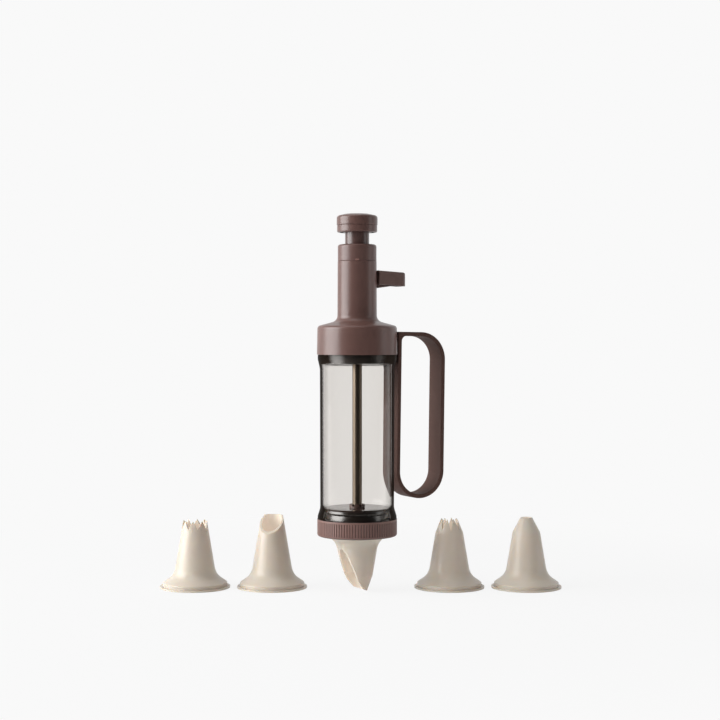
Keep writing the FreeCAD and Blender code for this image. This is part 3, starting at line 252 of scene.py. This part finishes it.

# Painted highlight: the raised alignment mark on the collar is painted paler
collarPlastic = {**brownPlastic, "colour": (0.115, 0.059, 0.050), "roughness": 0.36,
                 "paintedShadeRadii": (0.01500, 0.01512), "shades": (1.0, 2.2)}
dress(["collar"], mouldedPlastic("collarPlastic", collarPlastic))

hubPlastic = {**brownPlastic, "colour": (0.112, 0.066, 0.052), "roughness": 0.44}
dress(["piston_hub"], mouldedPlastic("hubPlastic", hubPlastic))

pistonPlastic = {**brownPlastic, "colour": (0.040, 0.024, 0.020), "roughness": 0.09, "patchDepth": 0.03,
                 "waveDepth": 0.00002, "grainDepth": 0.000002}
dress(["piston_disc"], mouldedPlastic("pistonPlastic", pistonPlastic))

cagePlastic = {**brownPlastic, "colour": (0.062, 0.050, 0.042), "roughness": 0.33, "ior": 1.80}
dress(["mechanism_cage"], mouldedPlastic("cagePlastic", cagePlastic))

bushPlastic = {**brownPlastic, "colour": (0.74, 0.72, 0.67), "cloudDepth": 0.03, "roughness": 0.42}
dress(["stem_bush"], mouldedPlastic("bushPlastic", bushPlastic))

nozzlePlastic = {**brownPlastic, "colour": (0.565, 0.505, 0.425), "cloudScale": 45, "cloudDepth": 0.035,
                 "roughness": 0.36, "patchScale": 70, "patchStretch": (1.0, 1.0, 0.4), "patchDepth": 0.04,
                 "waveScale": 75, "waveDepth": 0.00005, "grainScale": 2600, "ior": 1.50,
                 "glow": 0.35, "glowRadius": (0.0034, 0.0020, 0.0011),
                 "paintedGlowColour": (1.0, 0.89, 0.77), "paintedGlow": 0.26, "inwards": (-0.2, -0.6)}
for name in nodes:
    if name == "fitted_nozzle" or name.startswith("spare_nozzle"):
        low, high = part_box(name)
        centre = ((low[0] + high[0]) / 2, (low[1] + high[1]) / 2, 0.0)
        dress([name], mouldedPlastic("nozzlePlastic", {**nozzlePlastic, "centre": centre}))
print("Plastics done")


# Rubber: nearly black, smooth, with fine dust and a faint waviness

waveTurn = 20.0  # a wave texture turns by this many radians a metre for each unit of its scale


def addLipCurve(tree, shader, finish, under):  # the seal bellies out, so its flank leans back as it rises
    pitchTurn = 2 * math.pi / finish["lipPitch"]
    curve = addNode(tree, "ShaderNodeTexWave", {
        "Vector": objectPlace(tree), "Scale": pitchTurn / waveTurn, "Distortion": 0.0, "Detail": 0.0,
        "Phase Offset": math.pi - pitchTurn * finish["lipCrest"]})
    curve.wave_type = "BANDS"
    curve.bands_direction = "Z"
    curve.wave_profile = "SIN"
    addBump(tree, shader, curve.outputs["Fac"], finish["lipDepth"], under)


def softRubber(name, finish):
    material, tree, shader = startMaterial(name)
    dust = addNoise(tree, finish["dustScale"], finish["dustDetail"], breakup=finish["dustBreakup"])
    tones = addTones(tree, dust, finish["colour"], finish["dustColour"], finish["dustSpread"])
    gloss = addRange(tree, dust, noiseSpread,
                     (finish["roughness"], finish["roughness"] + finish["dustDepth"]))
    feed(tree, shader, {"Base Color": tones, "Roughness": gloss, "IOR": finish["ior"]})
    waves = addNoise(tree, finish["waveScale"], finish["waveDetail"])
    soft = addBump(tree, shader, waves, finish["waveDepth"])
    if "lipPitch" in finish:
        addLipCurve(tree, shader, finish, soft)
    return material


gasketRubber = {"colour": (0.020, 0.016, 0.015), "roughness": 0.42, "ior": 1.5,
                "dustColour": (0.034, 0.028, 0.025), "dustScale": 300, "dustDetail": 5, "dustBreakup": 0.7,
                "dustSpread": (0.55, 0.80), "dustDepth": 0.05,
                "waveScale": 90, "waveDetail": 1, "waveDepth": 0.00002}

sealRubber = {**gasketRubber, "colour": (0.020, 0.012, 0.008), "dustColour": (0.026, 0.018, 0.013),
              "roughness": 0.22, "ior": 1.90, "lipPitch": 0.0170, "lipCrest": 0.0560, "lipDepth": 0.0022}
dress(["piston_seal"], softRubber("sealRubber", sealRubber))

dress(["rod_wiper", "barrel_gasket", "nozzle_gasket"], softRubber("gasketRubber", gasketRubber))


# Steel: drawn or turned, with fine streaks along the drawing direction

def streakedSteel(name, finish):
    material, tree, shader = startMaterial(name)
    streaks = addNoise(tree, finish["streakScale"], finish["streakDetail"], finish["streakStretch"],
                       finish["streakBreakup"])
    tones = addTones(tree, streaks, shadeOf(finish["colour"], finish["darkShade"]), finish["colour"])
    gloss = addRange(tree, streaks, noiseSpread,
                     (finish["roughness"] - finish["glossier"], finish["roughness"] + finish["duller"]))
    feed(tree, shader, {"Base Color": tones, "Roughness": gloss, "Metallic": 1.0})
    addBump(tree, shader, streaks, finish["streakDepth"])
    return material


rodSteel = {"colour": (0.205, 0.164, 0.125), "darkShade": 0.86, "roughness": 0.40, "glossier": 0.04,
            "duller": 0.06, "streakScale": 1500, "streakStretch": (1.0, 1.0, 0.02), "streakDetail": 4,
            "streakBreakup": 0.65, "streakDepth": 0.000004}
dress(["rod"], streakedSteel("rodSteel", rodSteel))

screwSteel = {**rodSteel, "colour": (0.52, 0.50, 0.47), "roughness": 0.30, "streakScale": 900,
              "streakStretch": (1.0, 1.0, 1.0)}
dress(["cage_screws", "handle_screws", "piston_screw", "drive_plate_spring"],
      streakedSteel("screwSteel", screwSteel))

plateSteel = {**rodSteel, "colour": (0.50, 0.48, 0.45), "roughness": 0.32, "streakScale": 700,
              "streakStretch": (1.0, 0.05, 1.0), "streakDepth": 0.000006}
dress(["spring_seat", "plate_retainer", "drive_plate", "brake_plate"],
      streakedSteel("plateSteel", plateSteel))
print("Rubber and steel done")


# Barrel: clear plastic with a warm smoke tint. Painted shade darkens its outer skin where the wall is seen
# edge on, and sooner at the flared ends

barrelFinish = {"colour": (0.938, 0.930, 0.918), "hazeColour": (0.925, 0.915, 0.902), "hazeScale": 20,
                "hazeDetail": 2, "hazeStretch": (1.0, 1.0, 0.3), "roughness": 0.0, "hazeDepth": 0.01,
                "ior": 1.25, "gloss": 0.30,
                "waveScale": 30, "waveDetail": 1, "waveStretch": (1.0, 1.0, 0.2), "waveDepth": 0.00001,
                "smokeColour": (0.66, 0.58, 0.50), "smokeDensity": 37.0,
                "paintedEdgeColour": (0.030, 0.022, 0.017), "edgeRoughness": 0.3, "edgeGloss": 0.1,
                "edgeIor": 1.08, "skinRadius": 0.0278,
                "paintedEdgeStops": ((0.34, 0.0), (0.45, 0.20), (0.55, 0.33), (0.62, 0.78), (0.68, 1.0)),
                "flares": (((0.0680, 0.0650), 0.17), ((0.1752, 0.1768), 0.34))}


def addPaintedFlareShade(tree, finish):  # painted shade: the thick flares at both ends are painted dark sooner than the plain tube
    height = addAxis(tree, objectPlace(tree), "Z")
    foot, top = (addRange(tree, height, reach, (0.0, shade)) for reach, shade in finish["flares"])
    return addMath(tree, "ADD", foot, top)


def addPaintedEdgeShare(tree, finish):  # how much of the painted dark edge shows, and only on the outer skin
    facing = tree.nodes.new("ShaderNodeLayerWeight").outputs["Facing"]
    stops = tuple((position, (share, share, share)) for position, share in finish["paintedEdgeStops"])
    share = addRamp(tree, addMath(tree, "ADD", facing, addPaintedFlareShade(tree, finish)), stops)
    skin = addMath(tree, "GREATER_THAN", addAxisDistance(tree), finish["skinRadius"])
    return addMath(tree, "MULTIPLY", share, skin)


def smokeClear(name, finish):
    material, tree, shader = startMaterial(name)
    haze = addNoise(tree, finish["hazeScale"], finish["hazeDetail"], finish["hazeStretch"])
    gloss = addRange(tree, haze, noiseSpread,
                     (finish["roughness"], finish["roughness"] + finish["hazeDepth"]))
    feed(tree, shader, {"Base Color": addTones(tree, haze, finish["colour"], finish["hazeColour"]),
                        "Roughness": gloss, "IOR": finish["ior"], "Specular IOR Level": finish["gloss"],
                        "Transmission Weight": 1.0})
    waves = addNoise(tree, finish["waveScale"], finish["waveDetail"], finish["waveStretch"])
    addBump(tree, shader, waves, finish["waveDepth"])
    smoke = addNode(tree, "ShaderNodeVolumeAbsorption", {
        "Color": (*finish["smokeColour"], 1.0), "Density": finish["smokeDensity"]})
    # painted shade: a dark layer mixed over the clear wall where it is seen edge on and at the flares
    edge = addNode(tree, "ShaderNodeBsdfPrincipled", {
        "Base Color": (*finish["paintedEdgeColour"], 1.0), "Roughness": finish["edgeRoughness"],
        "Specular IOR Level": finish["edgeGloss"], "IOR": finish["edgeIor"]})
    surface = addMix(tree, addPaintedEdgeShare(tree, finish), shader.outputs["BSDF"], edge.outputs["BSDF"])
    feed(tree, outputOf(tree), {"Surface": surface, "Volume": smoke.outputs["Volume"]})
    return material


dress(["barrel"], smokeClear("barrelSmoke", barrelFinish))
print("Barrel done")


# Springs: a round wire section turned up a screw, with closed ends

def coilSpring(name, spring, material):
    bpy.ops.object.select_all(action="DESELECT")
    low, high = (corner[2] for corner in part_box(spring["node"]))
    wire = spring["wireRadius"]
    bpy.ops.mesh.primitive_circle_add(
        vertices=spring["wireSides"], radius=wire, fill_type="NOTHING",
        location=(spring["coilRadius"], 0, low + wire), rotation=(math.pi / 2, 0, 0))
    piece = bpy.context.object
    piece.name = name
    bpy.ops.object.transform_apply(location=True, rotation=True, scale=True)
    screw = piece.modifiers.new("coil", "SCREW")
    screw.axis = "Z"
    screw.angle = 2 * math.pi * spring["turns"]
    screw.screw_offset = high - low - 2 * wire
    screw.steps = screw.render_steps = spring["stepsPerTurn"] * spring["turns"]
    screw.use_merge_vertices = False
    bpy.ops.object.modifier_apply(modifier=screw.name)
    bpy.ops.object.mode_set(mode="EDIT")
    bpy.ops.mesh.select_mode(type="EDGE")
    bpy.ops.mesh.select_all(action="DESELECT")
    bpy.ops.mesh.select_non_manifold()
    bpy.ops.mesh.fill()
    bpy.ops.mesh.select_all(action="SELECT")
    bpy.ops.mesh.normals_make_consistent(inside=False)
    bpy.ops.object.mode_set(mode="OBJECT")
    bpy.ops.object.shade_smooth_by_angle(angle=math.radians(spring["smoothAngle"]))
    piece.data.materials.append(material)
    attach(piece, "housing")
    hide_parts(spring["node"])
    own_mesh(piece)


springSteel = {**rodSteel, "colour": (0.50, 0.48, 0.45), "roughness": 0.26, "streakScale": 1100,
               "streakStretch": (1.0, 1.0, 0.3)}
springMaterial = streakedSteel("springSteel", springSteel)

returnSpring = {"node": "return_spring", "joint": "knob_press", "coilRadius": 0.0112, "wireRadius": 0.0007,
                "wireSides": 12, "turns": 7, "stepsPerTurn": 32, "smoothAngle": 50, "shortest": 0.712}
coilSpring("returnSpringCoil", returnSpring, springMaterial)

brakeSpring = {"node": "brake_spring", "joint": "release_press", "coilRadius": 0.0087, "wireRadius": 0.0004,
               "wireSides": 10, "turns": 2, "stepsPerTurn": 32, "smoothAngle": 50, "shortest": 0.84}
coilSpring("brakeSpringCoil", brakeSpring, springMaterial)
print("Springs done")


# Stage: a seamless pale sweep. The floor takes a faint shadow near the press and fades into the backdrop.

stage = {"size": 6.0, "paleness": 0.947, "albedo": 0.90, "roughness": 0.9, "shadowShare": 0.08,
         "fadeReach": (0.22, 0.50), "gloomReach": (0.02, -0.26), "frontGloom": 0.05}


def straightSight(tree):  # 1 for what the camera sees directly or through clear plastic, else 0
    path = tree.nodes.new("ShaderNodeLightPath").outputs
    bounces = addMath(tree, "ADD", path["Glossy Depth"], path["Diffuse Depth"])
    unbounced = addMath(tree, "LESS_THAN", bounces, 0.5)  # the count is whole, so this means none
    through = addMath(tree, "MULTIPLY", path["Is Transmission Ray"], unbounced)
    return addMath(tree, "MAXIMUM", path["Is Camera Ray"], through)


def seenShare(tree):  # 1 for rays from the camera, through glass or off gloss, else 0
    path = tree.nodes.new("ShaderNodeLightPath").outputs
    direct = addMath(tree, "MAXIMUM", path["Is Camera Ray"], path["Is Glossy Ray"])
    return addMath(tree, "MAXIMUM", direct, path["Is Transmission Ray"])


def seenBrightness(tree, stage):  # the camera sees the floor pale all round, gloss sees it dim in front
    depth = addAxis(tree, objectPlace(tree), "Y")
    dimmed = addRange(tree, depth, stage["gloomReach"], (1.0, stage["frontGloom"]), smooth=True)
    return addMath(tree, "MAXIMUM", straightSight(tree), dimmed)


def buildFloor(stage):
    bpy.ops.object.select_all(action="DESELECT")
    bpy.ops.mesh.primitive_plane_add(size=stage["size"], location=(0, 0, 0))
    floor = bpy.context.object
    floor.name = "floor"
    material, tree, shader = startMaterial("paleSweep")
    feed(tree, shader, {"Base Color": grey(stage["albedo"]), "Roughness": stage["roughness"],
                        "Specular IOR Level": 0.0})
    glow = addNode(tree, "ShaderNodeEmission", {
        "Color": grey(stage["paleness"]), "Strength": seenBrightness(tree, stage)})
    length = addVectorMath(tree, "LENGTH", {0: objectPlace(tree)})["Value"]
    fade = addRange(tree, length, stage["fadeReach"], (1.0 - stage["shadowShare"], 1.0), smooth=True)
    share = addMath(tree, "MULTIPLY", seenShare(tree), fade)
    surface = addMix(tree, share, shader.outputs["BSDF"], glow.outputs["Emission"])
    feed(tree, outputOf(tree), {"Surface": surface})
    floor.data.materials.append(material)


buildFloor(stage)

backdrop = {"paleness": 0.947, "softLight": 0.30, "frontGloom": 0.04, "gloomReach": (-0.15, 0.75)}


def addSky(tree, colour, strength):
    sky = addNode(tree, "ShaderNodeBackground", {"Color": colour, "Strength": strength})
    return sky.outputs["Background"]


def buildWorld(backdrop):
    world = bpy.data.worlds.new("studio")
    bpy.context.scene.world = world
    world.use_nodes = True
    tree = world.node_tree
    tree.nodes.clear()
    way = tree.nodes.new("ShaderNodeTexCoord").outputs["Generated"]
    behind = addRange(tree, addAxis(tree, way, "Y"), backdrop["gloomReach"],
                      (backdrop["frontGloom"], backdrop["paleness"]), smooth=True)
    path = tree.nodes.new("ShaderNodeLightPath").outputs
    sharp = addMath(tree, "MAXIMUM", path["Is Glossy Ray"], path["Is Transmission Ray"])
    soft = addSky(tree, grey(1.0), backdrop["softLight"])
    room = addSky(tree, grey(1.0), behind)  # what gloss shows: a pale sweep behind, a dim room in front
    pale = addSky(tree, grey(backdrop["paleness"]), 1.0)
    surface = addMix(tree, straightSight(tree), addMix(tree, sharp, soft, room), pale)
    addNode(tree, "ShaderNodeOutputWorld", {"Surface": surface})


buildWorld(backdrop)


# Lights: a tall panel on the left, a weak one on the right and a broad one overhead.
# They light what stands in the barrel as if its clear wall weren't there, and leave no stripe on the wall.

def lightAllBut(name):
    lit = bpy.data.collections.new("lit")
    for piece in bpy.data.objects:
        if piece.type == "MESH" and piece != nodes[name]:
            lit.objects.link(piece)
    return lit


litPieces = lightAllBut("barrel")


def softbox(name, box):
    data = bpy.data.lights.new(name, "AREA")
    data.shape = "RECTANGLE"
    data.size, data.size_y = box["width"], box["height"]
    data.energy = box["power"]
    lamp = bpy.data.objects.new(name, data)
    lamp.location = box["place"]
    lamp.rotation_euler = (Vector(box["aim"]) - Vector(box["place"])).to_track_quat("-Z", "Y").to_euler()
    lamp.visible_camera = False
    lamp.light_linking.receiver_collection = litPieces
    lamp.light_linking.blocker_collection = litPieces
    bpy.context.scene.collection.objects.link(lamp)


keyStrip = {"place": (-2.40, -0.44, 0.56), "aim": (0, 0, 0.16), "width": 2.30, "height": 3.00, "power": 156.0}
softbox("keyStrip", keyStrip)
fillStrip = {"place": (1.18, -0.16, 0.34), "aim": (0, 0, 0.16), "width": 0.40, "height": 1.30, "power": 2.2}
softbox("fillStrip", fillStrip)
topPanel = {"place": (-0.2, -0.10, 1.40), "aim": (0, 0, 0.10), "width": 0.9, "height": 0.9, "power": 3.5}
softbox("topPanel", topPanel)
print("Stage and lights done")


# Camera: level, in front of the press, its frame shifted down a little

camera = {"distance": 1.235, "height": 0.2009, "across": 0.0022, "focalPixels": 1598.0, "horizonRow": 331.06,
          "imageSide": 720, "sensorWidth": 36.0}


def placeCamera(camera):
    data = bpy.data.cameras.new("camera")
    data.sensor_width = camera["sensorWidth"]
    data.lens = camera["focalPixels"] * camera["sensorWidth"] / camera["imageSide"]
    data.shift_y = (camera["horizonRow"] - camera["imageSide"] / 2) / camera["imageSide"]
    eye = bpy.data.objects.new("camera", data)
    eye.location = (camera["across"], -camera["distance"], camera["height"])
    eye.rotation_euler = (math.pi / 2, 0, 0)
    bpy.context.scene.collection.objects.link(eye)
    bpy.context.scene.camera = eye
    bpy.context.scene.view_settings.view_transform = "Standard"


placeCamera(camera)
